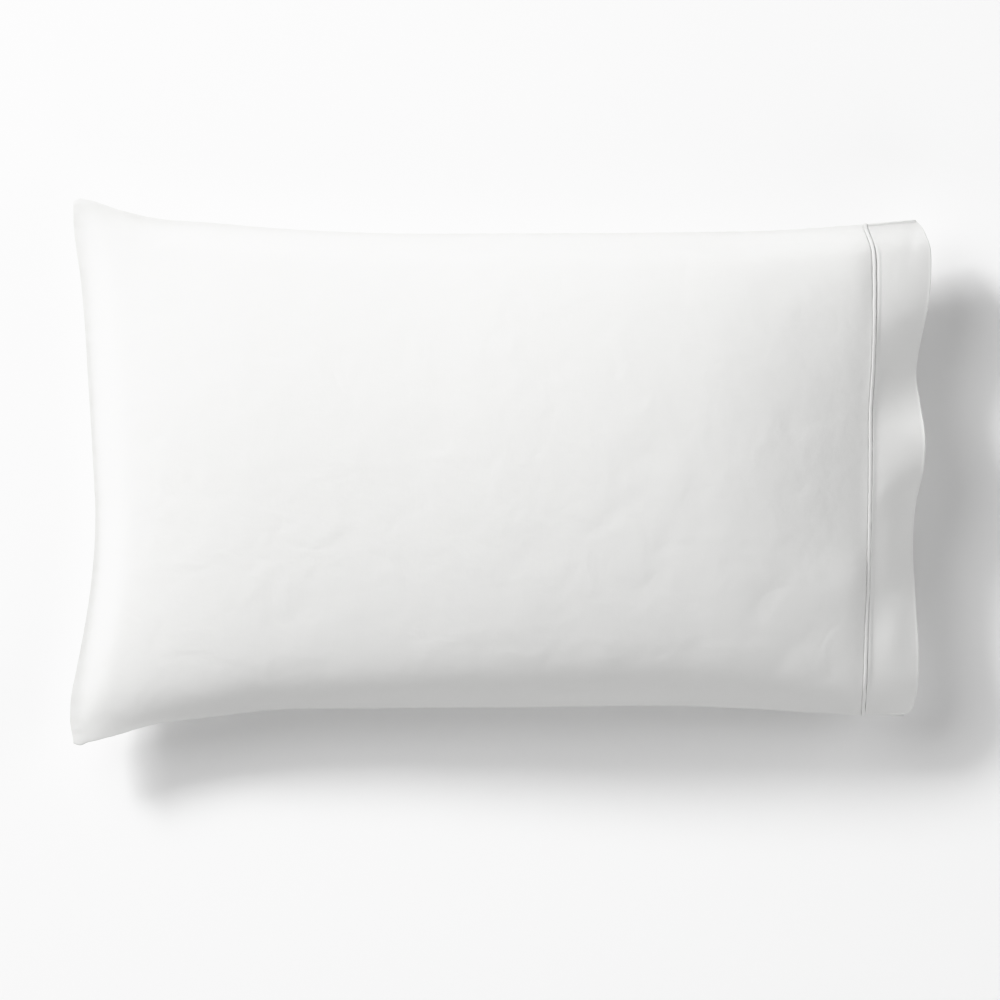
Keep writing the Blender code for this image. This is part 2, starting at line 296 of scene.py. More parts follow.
# Small ripples along the seams: their length, share of the height and phase.
RIPPLES = short_table("length share phase", [
    (0.0230, 0.40, 0.7),
    (0.0137, 0.35, 2.9),
    (0.0083, 0.25, 4.4),
])
RIPPLE_REACH = 0.012  # how far from a seam they fade
SWING = 0.6  # how far, in radians, their places swing
SWING_LENGTH = 1.7  # over how many of their lengths, for each radian
SIDE_SHARE = 0.6  # their height along the side folds, beside that at the closed seam
SIDE_SHIFT = 0.11  # sets the far side's apart from the near side's

# The cloth's look. For each material: how far its weave is turned in radians, the size and depth of
# its soft crumple, and its roughness.
CLOTHS = {
    "case_cotton": (0.0, 0.036, 0.0011, 0.80),
    "cuff_cotton": (0.0, 0.030, 0.0004, 0.80),
    "piping_cotton": (0.785, 0.012, 0.0002, 0.72),
}
SHEEN_ROUGHNESS = 0.5
SPECULAR = 0.25
DEEPER = (0.955, 0.955, 0.95)  # how the thick threads' colour compares with the cloth's own
ROUGHNESS_PLAY = 0.06  # how far the roughness goes either way with the threads
THREAD_HEIGHT = 0.00006  # the weave's bump, and its strength
THREAD_STRENGTH = 0.6
SLUBS = ((60.0, 2200.0, 1.0), (2200.0, 60.0, 1.0))  # stretch of the threads' noise, each way
NOISE_DETAIL = 2.0
WIDE_DETAIL = 1.5  # of the crumple's larger noise
WIDE_DISTORTION = 0.6
FINER = 4.0  # how much finer its smaller noise is
FINE_SHARE = 0.18  # and how much of its height that adds

# The soft lights: the direction to each from the case, how far off it stands, its width and watts.
LIGHTS = np.array([
    ("key", (-1.25, 1.10, 1.00), 6.0, 1.68, 264.0),
    ("side", (-0.90, 0.70, 1.00), 3.2, 3.00, 60.0),
    ("high fill", (1.00, -0.35, 1.00), 3.0, 2.60, 22.0),
    ("near fill", (0.15, -1.00, 0.45), 4.0, 2.60, 31.0),
    ("left fill", (-0.60, -1.00, 0.50), 4.0, 2.60, 18.5),
    ("right fill", (1.00, 0.30, 0.45), 4.0, 2.60, 32.0),
], dtype=[("name", "U12"), ("way", float, 3), ("distance", float), ("size", float),
          ("power", float)])
LIGHT_AIM = 0.08  # height of the place that the lights face
FLOOR_PATCHES = 1.5  # patches of the floor's colour in a metre
FLOOR_DEEPER = (0.99, 0.99, 0.99)  # how the deeper of its two colours compares with the paler
FLOOR_ROUGHNESS = (0.85, 0.95)
EVEN_COLOUR = (1.0, 1.0, 1.0, 1.0)
SENSOR = 36.0  # width of the camera's sensor, in millimetres
CAMERA_Y = -0.026  # where the picture's middle lies
VIEW_HEIGHT = 0.070  # the height at which the picture shows its stated width
CLIP_END = 100.0  # how far the camera sees
BEND_FROM = 0.88  # the level above which the picture's curve bends
BRIGHTEST_IN = 2.0  # the level that it brings down to the picture's brightest
BRIGHTEST_OUT = 0.985
BEND_PLACES = (0.40, 0.74, 0.88, 0.94, 1.00, 1.10, 1.25, 1.50)


def curve_through(table, column, places):
    """A column read on a smooth curve through the table's rows, held level past its ends.

    The rows' places are the table's first column. Between two rows it is the cubic that has their
    values, and at each the slope of the line from the row before to the row after."""
    stations = table[table.dtype.names[0]]
    values = table[column]
    slopes = np.gradient(values, stations)
    at = np.clip(places, stations[0], stations[-1])
    row = np.clip(np.searchsorted(stations, at) - 1, 0, len(stations) - 2)
    step = stations[row + 1] - stations[row]
    t = (at - stations[row]) / step
    start = (1.0 + 2.0 * t) * (1.0 - t) ** 2 * values[row]
    end = (3.0 - 2.0 * t) * t ** 2 * values[row + 1]
    lean = (t * (1.0 - t) ** 2 * slopes[row] - t ** 2 * (1.0 - t) * slopes[row + 1]) * step
    return start + end + lean


def folds_at(table, x, y):
    """Depth of the soft folds at a place: a sum of long bells, each turned along its own axis."""
    depth = np.zeros(np.broadcast(x, y).shape)
    for fold in table:
        turn = np.radians(fold["turn"])
        along = (x - fold["x"]) * np.cos(turn) + (y - fold["y"]) * np.sin(turn)
        across = (y - fold["y"]) * np.cos(turn) - (x - fold["x"]) * np.sin(turn)
        depth += fold["deep"] * np.exp(-(along / fold["long"]) ** 2 - (across / fold["wide"]) ** 2)
    return depth


def ripples(places):
    """Uneven small waves along a seam: a sum of sines whose own places swing a little."""
    height = np.zeros(np.shape(places))
    for wave in RIPPLES:
        swing = SWING * np.sin(places / (wave["length"] * SWING_LENGTH))
        height += wave["share"] * np.sin(2.0 * np.pi * places / wave["length"] + wave["phase"] + swing)
    return height


def around_steps(count):
    """Angles round a section, from the far side over the top to the near side and back below."""
    even = np.arange(count) * 2.0 * np.pi / count
    return even + EVEN_OUT * np.sin(2.0 * even)


def to_side_fold(around):
    """About how far round the section the nearest side fold is."""
    return FLAT_WIDTH / np.pi * np.minimum(np.minimum(around, np.abs(np.pi - around)),
                                           2.0 * np.pi - around)


def arch_at(along, around):
    """How much of the way from the side folds to the crown the skin has risen, from 0 to 1.

    Along the case it is a long rounded rise from the closed seam, and across it a rounded bow that
    is more pointed near the ears. Beside the seam and the side folds the cloth is slack and lies
    lower: the rise is multiplied there by one minus an exponential of the distance, or of its
    square where the slack lies nearly level."""
    from_seam = np.maximum(along - SEAM_LIP, 0.0)
    reach = np.where(around <= np.pi, END_REACH, UNDER_REACH)
    to_end = np.clip(1.0 - from_seam / reach, 0.0, 1.0)
    swell = (1.0 - to_end ** END_POWER) ** END_ROUND * (1.0 - np.exp(-(from_seam / END_SLACK) ** 2))
    side = np.cos(around)
    across = np.abs(side)
    pointed = np.where(side > 0.0, FAR_ROUND, NEAR_ROUND) + EAR_POINTED * np.exp(-along / EAR_REACH)
    from_side = HALF_WIDTH * (1.0 - across)
    slack = np.where(side > 0.0, (from_side / FAR_SLACK) ** 2, from_side / NEAR_SLACK)
    bow = (1.0 - across ** SIDE_POWER) ** pointed * (1.0 - np.exp(-slack))
    return swell * bow


def case_skin(along, around):
    """The case's skin over distance from the ear line and angle round the section.

    A point lies between the two sides by the cosine of its angle. Its height goes from the side
    folds to the crown, or to the flat underside, by the arch, and the seam's half thickness is
    added on both sides. The closed seam and the join bow in and out of their straight lines."""
    side = np.cos(around)
    upper = around <= np.pi
    far = curve_through(OUTLINE, "far", along)
    near = curve_through(OUTLINE, "near", along)
    far_rim = curve_through(OUTLINE, "far_rim", along)
    near_rim = curve_through(OUTLINE, "near_rim", along)
    crown = curve_through(PROFILE, "crown", along)
    under = curve_through(PROFILE, "under", along)
    y = (far + near) / 2.0 + (far - near) / 2.0 * side
    rim = (far_rim + near_rim) / 2.0 + (far_rim - near_rim) / 2.0 * side
    arch = arch_at(along, around)
    edge = SEAM_THICK / 2.0 * (1.0 - (1.0 - np.abs(np.sin(around))) ** EDGE_SOFT)

    run = along / CASE_LENGTH
    join_line = curve_through(END_LINES, "join", y)
    join_line = join_line - JOIN_LEAN * np.where(upper, 0.0, arch)
    seam_line = curve_through(END_LINES, "seam", y)
    x = EAR_LINE + along + seam_line * (1.0 - run) ** SEAM_FADE + join_line * run ** JOIN_FADE
    top = rim + (crown - rim) * arch + edge
    bottom = np.maximum(rim - (rim - under) * arch - edge, 0.0)
    return np.stack([x, y, np.where(upper, top, bottom)], axis=-1)


def cuff_skin(out, around):
    """The cuff's outer skin, from 0 at the join to 1 at its free edge.

    Each point of the join moves out by its reach and down by its fall, of which more or less comes
    near the join by its curl, and the far side spreads."""
    join = case_skin(np.full_like(out, CASE_LENGTH), around)
    upper = around <= np.pi
    across = join[..., 1]
    reach = np.where(upper, curve_through(CUFF_TOP, "reach", across),
                     curve_through(CUFF_UNDER, "reach", across))
    fall = np.where(upper, curve_through(CUFF_TOP, "fall", across),
                    curve_through(CUFF_UNDER, "fall", across))
    curl = np.where(upper, curve_through(CUFF_TOP, "curl", across),
                    curve_through(CUFF_UNDER, "curl", across))
    flare = CUFF_FLARE * np.maximum(np.cos(around), 0.0) ** 2
    move = np.stack([reach * out, flare * out, -fall * out * (1.0 + curl * (1.0 - out))], axis=-1)
    return join + move


def unit(vectors):
    """The same directions, each of length 1."""
    return vectors / np.linalg.norm(vectors, axis=-1, keepdims=True)


def outward_on(points):
    """Directions out of a grid of rows along the case and closed loops round it."""
    round_it = np.roll(points, -1, axis=1) - np.roll(points, 1, axis=1)
    onward = np.gradient(points, axis=0)
    return unit(np.cross(round_it, onward))


def join_frame(around):
    """The join's points, with the directions along the cloth to the cuff and out of the cloth.

    Onward is the mean of the cloth's directions just before and just after the join, and outward
    stands square to it and to the join's own line."""
    ones = np.ones_like(around)
    middle = case_skin(CASE_LENGTH * ones, around)
    before = case_skin((CASE_LENGTH - NEARBY) * ones, around)
    beyond = cuff_skin(NEARBY / CUFF_DEPTH * ones, around)
    onward = unit(unit(middle - before) + unit(beyond - middle))
    round_it = unit(np.roll(middle, -1, axis=0) - np.roll(middle, 1, axis=0))
    outward = unit(np.cross(round_it, onward))
    return middle, onward, outward


def case_stations():
    """Distances of the case's sections from the ear line, closest together at its two ends."""
    even = np.linspace(0.0, 1.0, CASE_ALONG)
    closer = even - ENDS_CLOSER * np.sin(2.0 * np.pi * even) / (2.0 * np.pi)
    return CASE_LENGTH * closer ** SEAM_CLOSER


def case_relief(skin, along, around, crease, pucker):
    """How far the case's cloth stands out of its plain skin.

    The folds sink in where the case arches, the ripples fade with distance from the closed seam
    and the side folds, and the cloth rises to the piping as a bell of the distance from it. Before
    that it swells up by the distance times an exponential of it, which steepens its fall to the
    join."""
    x, y = skin[..., 0], skin[..., 1]
    upper = around <= np.pi
    relief = -crease * folds_at(FOLDS, x, y) * arch_at(along, around) * upper

    to_side = to_side_fold(around)
    at_end = np.exp(-along / RIPPLE_REACH) * ripples(y)
    at_side = np.exp(-to_side / RIPPLE_REACH) * ripples(x + SIDE_SHIFT * np.cos(around))
    off_floor = np.clip(skin[..., 2] / FLOOR_CLEAR, 0.0, 1.0)
    relief += pucker * (at_end + SIDE_SHARE * at_side) * off_floor

    rise = curve_through(JOIN_RISE, "rise", y)
    reach = curve_through(JOIN_RISE, "reach", y)
    from_join = CASE_LENGTH - along
    relief += rise * np.exp(-(from_join / reach) ** 2) * off_floor
    swell = curve_through(JOIN_SWELL, "swell", y) * upper
    relief += swell * from_join / SWELL_AT * np.exp(1.0 - from_join / SWELL_AT)
    return relief


def case_points(crease, pucker, piping_width):
    """The whole case as a grid: its skin, the step in under the piping, and the filling's end.

    The end is the last loop drawn together to its own middle level, while it bulges out by a
    power of what is left of its height."""
    around = around_steps(CASE_AROUND)
    stations = case_stations()
    before = stations[stations < CASE_LENGTH - piping_width / 2.0 - 2.0 * PIECE_GAP]
    along, angle = np.meshgrid(before, around, indexing="ij")
    skin = case_skin(along, angle)
    outward = outward_on(skin)
    skin = skin + outward * case_relief(skin, along, angle, crease, pucker)[..., None]
    skin[..., 2] = np.maximum(skin[..., 2], 0.0)

    middle, onward, outward = join_frame(around)
    lowest = middle - onward * (piping_width / 2.0 + PIECE_GAP)
    off_floor = np.clip(lowest[:, 2] / FLOOR_CLEAR, 0.0, 1.0)
    rise = curve_through(JOIN_RISE, "rise", lowest[:, 1]) * off_floor
    edge = lowest + outward * rise[:, None]
    inner = lowest - outward * END_INSET
    level = (inner + inner[-np.arange(CASE_AROUND)]) / 2.0
    share = np.linspace(1.0, 0.0, END_STEPS + 1)[1:, None]
    end = level + (inner - level) * np.maximum(share, END_EDGE)[..., None]
    end[..., 1] = inner[:, 1] * (END_NARROW + (1.0 - END_NARROW) * share)
    end[..., 0] = inner[:, 0] + END_BULGE * (1.0 - share ** END_ROUNDED)
    return np.concatenate([skin, edge[None], inner[None], end])


def cuff_points(thick, bead, crease, piping_width):
    """The cuff as a grid whose rows run out over the outer skin, round the fold and back inside.

    The outer skin has its own small folds, its seam edge beside the piping and a bead at the fold.
    The inner skin lies one thickness inside it, less at the side folds, and half circles join the
    two at the free edge."""
    around = around_steps(TRIM_AROUND)
    start = 1.0 - np.cos(np.linspace(0.0, np.pi, CUFF_ALONG))
    begin = (piping_width / 2.0 + PIECE_GAP) / MEAN_REACH
    out, angle = np.meshgrid(begin + (1.0 - begin) * start / 2.0, around, indexing="ij")
    skin = cuff_skin(out, angle)
    outward = outward_on(skin)

    x, y = skin[..., 0], skin[..., 1]
    relief = -crease * folds_at(CUFF_FOLDS, x, y) * (angle <= np.pi) * np.sin(np.pi * out) ** 0.5
    from_join = out * CUFF_DEPTH
    edge = curve_through(JOIN_RISE, "edge", y)
    relief += edge * np.exp(-((from_join - SEAM_EDGE_OUT) / SEAM_EDGE_WIDE) ** 2)
    rise = curve_through(JOIN_RISE, "cuff_rise", y)
    relief += rise * np.exp(-((from_join - from_join[0]) / CUFF_RISE_REACH) ** 2)
    to_tip = np.abs(np.cos(angle))
    at_edge = np.exp(-((CUFF_DEPTH - from_join) / EDGE_BEAD) ** 2)
    relief += bead * at_edge * (1.0 - to_tip ** BEAD_POWER)
    outer = skin + outward * relief[..., None]

    thinner = THIN_SHARE * np.exp(-(to_side_fold(angle) / THIN_REACH) ** 2)
    depth = thick * (1.0 - thinner) + relief * INNER_SHARE
    inner = outer - outward * depth[..., None]
    middle = (outer[-1] + inner[-1]) / 2.0
    onward = unit(skin[-1] - skin[-3])
    turn = np.linspace(0.0, np.pi, EDGE_STEPS + 2)[1:-1, None, None]
    half = (depth[-1] / 2.0)[None, :, None]
    fold = middle + half * (np.cos(turn) * outward[-1] + np.sin(turn) * onward)
    return np.concatenate([outer, fold, inner[::-1]])


def piping_points(width, proud):
    """The piping as a grid of closed profiles: flat sides, a rounded top, and a root in the seam."""
    around = around_steps(TRIM_AROUND)
    middle, onward, outward = join_frame(around)
    half = width / 2.0
    angles = np.linspace(0.0, np.pi, PIPING_STEPS - 1)
    across = np.concatenate([np.cos(angles), [-1.0, 1.0]]) * half
    shoulder = proud * PIPING_SHOULDER
    root = [-PIPING_ROOT, -PIPING_ROOT]
    up = np.concatenate([shoulder + (proud - shoulder) * np.sin(angles), root])
    sway = PIPING_SWAY * ripples(middle[:, 1])
    centre = middle + onward * sway[:, None]
    kept = curve_through(JOIN_RISE, "proud", middle[:, 1])[None, :, None]
    rise = up[::-1, None, None] * np.where(up[::-1, None, None] > 0.0, kept, 1.0)
    return centre + across[::-1, None, None] * onward + rise * outward


def wrapped_faces(rows, columns, close_rows=False):
    """Quads of a grid whose columns run round a loop, with faces out of the grid's outer side.

    The UV map counts rows and columns evenly, so it is denser where they lie closer together."""
    count = rows if close_rows else rows - 1
    row, column = np.meshgrid(np.arange(count), np.arange(columns), indexing="ij")
    next_row = (row + 1) % rows
    next_column = (column + 1) % columns
    quads = np.stack([row * columns + column, row * columns + next_column,
                      next_row * columns + next_column, next_row * columns + column], axis=-1)
    u = np.stack([column, column + 1, column + 1, column], axis=-1) / columns
    v = np.stack([row, row, row + 1, row + 1], axis=-1) / count
    return quads.reshape(-1, 4), np.stack([u, v], axis=-1).reshape(-1, 2)


def loop_lid(first, columns, outward_is_back):
    """A strip of faces that closes a loop of points from its upper half to its lower half."""
    upper = np.arange(columns // 2 + 1)
    lower = (-upper) % columns
    quads = np.stack([upper[1:-2], lower[1:-2], lower[2:-1], upper[2:-1]], axis=-1)
    ends = np.array([[upper[0], lower[1], upper[1]], [upper[-2], lower[-2], upper[-1]]])
    if not outward_is_back:
        quads = quads[:, ::-1]
        ends = ends[:, ::-1]
    return quads + first, ends + first


def add_piece(name, points, faces, uv, material):
    """A smooth mesh object from points, lists of faces and the places of their corners."""
    mesh = bpy.data.meshes.new(name)
    mesh.from_pydata(points.reshape(-1, 3), [], faces)
    layer = mesh.uv_layers.new(name="cloth")
    layer.data.foreach_set("uv", uv.astype(np.float32).ravel())
    mesh.shade_smooth()
    mesh.materials.append(material)
    mesh.update()
    piece = bpy.data.objects.new(name, mesh)
    bpy.context.scene.collection.objects.link(piece)
    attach(piece, "root")
    return piece


def stitch_points(piping_width, length, gap, thick):
    """Places of the stitches: a row on the case beside the piping, spaced by length of seam.

    Each stitch is a thin spindle: its half width is the root of one minus the square of the way
    along it, and a copy of it stands at each place in the directions of the seam there."""
    around = around_steps(TRIM_AROUND)
    middle, onward, outward = join_frame(around)
    row = middle - onward * (piping_width / 2.0 + STITCH_OUT)
    ring = np.concatenate([row, row[:1]])
    run = np.concatenate([[0.0], np.cumsum(np.linalg.norm(np.diff(ring, axis=0), axis=1))])
    count = int(run[-1] / (length + gap))
    places = (np.arange(count) + 0.5) * run[-1] / count
    spots = [np.stack([np.interp(places, run, np.append(field[:, k], field[0, k])) for k in range(3)],
                      axis=-1) for field in (row, onward, outward)]
    spot, onward, outward = spots[0], unit(spots[1]), unit(spots[2])
    seam = unit(np.cross(onward, outward))
    way = np.linspace(-1.0, 1.0, STITCH_RINGS)
    width = thick / 2.0 * np.sqrt(np.maximum(1.0 - way ** 2, STITCH_BLUNT))
    angle = np.arange(STITCH_SIDES) * 2.0 * np.pi / STITCH_SIDES
    a = np.repeat(way * length / 2.0, STITCH_SIDES)
    b = (width[:, None] * np.cos(angle)).ravel()
    c = (width[:, None] * np.sin(angle)).ravel()
    return (spot[:, None] + a[None, :, None] * seam[:, None] + b[None, :, None] * onward[:, None]
            + c[None, :, None] * outward[:, None])


def stitch_faces(count):
    """Faces of all the spindles: their sides, and a lid at each end."""
    sides, _ = wrapped_faces(STITCH_RINGS, STITCH_SIDES)
    first = np.arange(STITCH_SIDES)
    last = first + STITCH_SIDES * (STITCH_RINGS - 1)
    each = STITCH_SIDES * STITCH_RINGS
    starts = np.arange(count)[:, None, None] * each
    quads = (sides[None] + starts).reshape(-1, 4)
    lids = np.concatenate([(first[::-1][None, None] + starts).reshape(-1, STITCH_SIDES),
                           (last[None, None] + starts).reshape(-1, STITCH_SIDES)])
    return quads.tolist() + lids.tolist()


# ---- materials

def group_sockets(group, inputs, outputs):
    """Named sockets of a shader node group, with the inputs' usual values."""
    for name, kind, value in inputs:
        socket = group.interface.new_socket(name=name, in_out="INPUT", socket_type=kind)
        if value is not None:
            socket.default_value = value
    for name, kind in outputs:
        group.interface.new_socket(name=name, in_out="OUTPUT", socket_type=kind)


def node(tree, kind, place, inputs=None, **values):
    """A node at a place in the tree's drawing. Its inputs are values, or sockets to link."""
    made = tree.nodes.new(kind)
    made.location = place
    for name, value in values.items():
        setattr(made, name, value)
    for name, value in (inputs or {}).items():
        if isinstance(value, bpy.types.NodeSocket):
            tree.links.new(value, made.inputs[name])
        else:
            made.inputs[name].default_value = value
    return made


def calculate(tree, operation, place, *terms):
    """A Math node on sockets or numbers."""
    made = node(tree, "ShaderNodeMath", place, operation=operation)
    for socket, term in zip(made.inputs, terms):
        if isinstance(term, (int, float)):
            socket.default_value = term
        else:
            tree.links.new(term, socket)
    return made.outputs[0]


def weave_group():
    """A plain weave: the product of two sines over the cloth, with thick and thin threads.

    Height is where each thread comes to the top, and Thickness a noise drawn out along the
    threads both ways."""
    group = bpy.data.node_groups.new("Plain weave", "ShaderNodeTree")
    group_sockets(group, [("Cloth", "NodeSocketVector", None), ("Threads", "NodeSocketFloat", 2400.0),
                          ("Slub", "NodeSocketFloat", 0.35)],
                  [("Height", "NodeSocketFloat"), ("Thickness", "NodeSocketFloat")])
    given = node(group, "NodeGroupInput", (-900, 0))
    out = node(group, "NodeGroupOutput", (700, 0))
    split = node(group, "ShaderNodeSeparateXYZ", (-700, 100), {"Vector": given.outputs["Cloth"]})
    turns = calculate(group, "MULTIPLY", (-700, -100), given.outputs["Threads"], np.pi)
    waves = []
    for index in range(2):
        angle = calculate(group, "MULTIPLY", (-500, 150 - 150 * index), split.outputs[index], turns)
        waves.append(calculate(group, "SINE", (-330, 150 - 150 * index), angle))
    product = calculate(group, "MULTIPLY", (-160, 100), *waves)
    slubs = []
    for index, stretch in enumerate(SLUBS):
        drawn = node(group, "ShaderNodeMapping", (-500, -250 - 300 * index),
                     {"Scale": stretch, "Vector": given.outputs["Cloth"]})
        noise = node(group, "ShaderNodeTexNoise", (-300, -250 - 300 * index),
                     {"Scale": 1.0, "Detail": NOISE_DETAIL, "Vector": drawn.outputs[0]})
        slubs.append(noise.outputs[0])
    thickness = calculate(group, "ADD", (-80, -300), *slubs)
    thickness = calculate(group, "MULTIPLY", (80, -300), thickness, 0.5)
    uneven = calculate(group, "MULTIPLY", (250, -200), thickness, given.outputs["Slub"])
    height = calculate(group, "MULTIPLY", (80, 100), product, 0.5)
    height = calculate(group, "ADD", (400, 50), height, uneven)
    group.links.new(height, out.inputs["Height"])
    group.links.new(thickness, out.inputs["Thickness"])
    return group


def crumple_group():
    """The soft unevenness of worn cotton: two sizes of noise, the small one weaker."""
    group = bpy.data.node_groups.new("Soft crumple", "ShaderNodeTree")
    group_sockets(group, [("Place", "NodeSocketVector", None), ("Size", "NodeSocketFloat", 0.030)],
                  [("Height", "NodeSocketFloat")])
    given = node(group, "NodeGroupInput", (-600, 0))
    out = node(group, "NodeGroupOutput", (500, 0))
    scale = calculate(group, "DIVIDE", (-400, -150), 1.0, given.outputs["Size"])
    finer = calculate(group, "MULTIPLY", (-400, -300), scale, FINER)
    at = given.outputs["Place"]
    wide = node(group, "ShaderNodeTexNoise", (-200, 100),
                {"Detail": WIDE_DETAIL, "Distortion": WIDE_DISTORTION, "Vector": at, "Scale": scale})
    fine = node(group, "ShaderNodeTexNoise", (-200, -200),
                {"Detail": NOISE_DETAIL, "Vector": at, "Scale": finer})
    weaker = calculate(group, "MULTIPLY", (50, -200), fine.outputs[0], FINE_SHARE)
    total = calculate(group, "ADD", (250, 0), wide.outputs[0], weaker)
    group.links.new(total, out.inputs["Height"])
    return group


def vary(tree, mask, colour, deeper, roughness):
    """Takes the shader from a colour to a deeper one, and between two roughnesses, by a mask."""
    shader = tree.nodes["Principled BSDF"]
    deep = [channel * share for channel, share in zip(colour, deeper)]
    tint = node(tree, "ShaderNodeMix", (-400, 300),
                {"Factor": mask, "A": (*colour, 1.0), "B": (*deep, 1.0)}, data_type="RGBA")
    tree.links.new(tint.outputs["Result"], shader.inputs["Base Color"])
    dull = node(tree, "ShaderNodeMapRange", (-400, 0),
                {"To Min": roughness[0], "To Max": roughness[1], "Value": mask})
    tree.links.new(dull.outputs[0], shader.inputs["Roughness"])


def cotton(name, settings):
    """White woven cotton: a Principled BSDF with the weave and the crumple as two bumps.

    Its colour goes between the cloth's own and a slightly deeper one with the threads' thickness."""
    weave_turn, crumple_size, crumple_depth, roughness = CLOTHS[name]
    material = bpy.data.materials.new(name)
    material.use_nodes = True
    tree = material.node_tree
    shader = tree.nodes["Principled BSDF"]
    shader.inputs["Sheen Weight"].default_value = settings.sheen
    shader.inputs["Sheen Roughness"].default_value = SHEEN_ROUGHNESS
    shader.inputs["Specular IOR Level"].default_value = SPECULAR

    cloth = node(tree, "ShaderNodeUVMap", (-1300, 200), uv_map="cloth")
    turned = node(tree, "ShaderNodeMapping", (-1120, 200),
                  {"Rotation": (0.0, 0.0, weave_turn), "Vector": cloth.outputs[0]})
    weave = node(tree, "ShaderNodeGroup", (-900, 200),
                 {"Threads": settings.threads, "Cloth": turned.outputs[0]},
                 node_tree=bpy.data.node_groups["Plain weave"])

    place = node(tree, "ShaderNodeTexCoord", (-1120, -200))
    crumple = node(tree, "ShaderNodeGroup", (-900, -200),
                   {"Size": crumple_size, "Place": place.outputs["Object"]},
                   node_tree=bpy.data.node_groups["Soft crumple"])

    vary(tree, weave.outputs["Thickness"], settings.colour, DEEPER,
         (roughness - ROUGHNESS_PLAY, roughness + ROUGHNESS_PLAY))

    soft = node(tree, "ShaderNodeBump", (-600, -200),
                {"Distance": crumple_depth, "Height": crumple.outputs["Height"]})
    threads = node(tree, "ShaderNodeBump", (-400, -200),
                   {"Distance": THREAD_HEIGHT, "Strength": THREAD_STRENGTH,
                    "Height": weave.outputs["Height"], "Normal": soft.outputs[0]})
    tree.links.new(threads.outputs[0], shader.inputs["Normal"])
    return material


def shared_groups():
    """Builds each shader node group once."""
    if "Plain weave" not in bpy.data.node_groups:
        weave_group()
        crumple_group()


def plain_paint(name, colour):
    """A matt pale floor, whose colour and roughness vary very slightly with a wide soft noise."""
    material = bpy.data.materials.new(name)
    material.use_nodes = True
    tree = material.node_tree
    shader = tree.nodes["Principled BSDF"]
    shader.inputs["Specular IOR Level"].default_value = 0.0
    place = node(tree, "ShaderNodeTexCoord", (-900, 0))
    noise = node(tree, "ShaderNodeTexNoise", (-700, 0),
                 {"Scale": FLOOR_PATCHES, "Detail": NOISE_DETAIL, "Vector": place.outputs["Object"]})
    vary(tree, noise.outputs[0], colour, FLOOR_DEEPER, FLOOR_ROUGHNESS)
    return material


# ---- settings

class CottonSettings(bpy.types.PropertyGroup):
    """The cloth that the case, the cuff and the piping are made of."""
    colour: FloatVectorProperty(
        name="Colour", description="The cotton's own colour", subtype="COLOR", size=3,
        default=(0.80, 0.80, 0.793), min=0.0, max=1.0)
    sheen: FloatProperty(
        name="Sheen", description="How much the cloth's nap brightens at a low angle", default=0.05,
        min=0.0, max=1.0, subtype="FACTOR")
    threads: FloatProperty(
        name="Threads", description="Threads in a metre of the UV map, each way", default=2400.0,
        min=100.0)


class CaseSettings(bpy.types.PropertyGroup):
    """The filled case."""
    crease: FloatProperty(
        name="Folds", description="Depth of the soft folds, 1 being as the real one lies", default=1.0,
        min=0.0, soft_max=2.0, subtype="FACTOR")
    pucker: FloatProperty(
        name="Pucker", description="Height of the small ripples along the seams", default=0.0004,
        min=0.0, soft_max=0.002, unit="LENGTH")
    fill: FloatProperty(
        name="Fill", description="How tightly the case is filled", default=0.85, min=0.0, max=1.0,
        subtype="FACTOR")


class CuffSettings(bpy.types.PropertyGroup):
    """The open cuff."""
    thick: FloatProperty(
        name="Thickness", description="Thickness of the doubled cloth", default=0.0018, min=0.001,
        max=0.003, unit="LENGTH")
    bead: FloatProperty(
        name="Edge", description="How far the folded edge stands out of the cloth", default=0.0003,
        min=0.0, max=0.002, unit="LENGTH")
    crease: FloatProperty(
        name="Folds", description="Depth of the small folds, 1 being as the real one lies", default=1.0,
        min=0.0, soft_max=2.0, subtype="FACTOR")


class PipingSettings(bpy.types.PropertyGroup):
    """The piping in the join and the stitches beside it."""
    width: FloatProperty(
        name="Width", description="Width of the piping", default=0.0034, min=0.002, max=0.005,
        unit="LENGTH")
    proud: FloatProperty(
        name="Height", description="How far the piping stands out of the cloth", default=0.0013,
        min=0.0005, max=0.003, unit="LENGTH")
    stitch: FloatProperty(
        name="Stitch", description="Length of a stitch", default=0.0024, min=0.001, max=0.005,
        unit="LENGTH")
    stitch_gap: FloatProperty(
        name="Stitch gap", description="Space between two stitches", default=0.0006, min=0.0002,
        max=0.003, unit="LENGTH")
    thread: FloatProperty(
        name="Thread", description="Thickness of the sewing thread", default=0.0005, min=0.0002,
        max=0.001, unit="LENGTH")


class StageSettings(bpy.types.PropertyGroup):
    """The floor, the lights and the camera."""
    floor_size: FloatProperty(
        name="Floor", description="Side of the square floor", default=24.0, min=2.0, unit="LENGTH")
    floor_colour: FloatVectorProperty(
        name="Floor colour", description="Colour of the floor", subtype="COLOR", size=3,
        default=(0.960, 0.960, 0.960), min=0.0, max=1.0)
    light: FloatProperty(
        name="Light", description="Strength of all the lights, 1 being as in the table", default=1.0,
        min=0.0, soft_max=2.0, subtype="FACTOR")
    even_light: FloatProperty(
        name="Even light", description="Strength of the light from all round", default=0.01, min=0.0)
    lens: FloatProperty(
        name="Lens", description="Focal length of the camera, in millimetres", default=400.0, min=20.0)
    view_width: FloatProperty(
        name="View", description="Width that the picture shows", default=0.920, min=0.2, unit="LENGTH")


# ---- stage

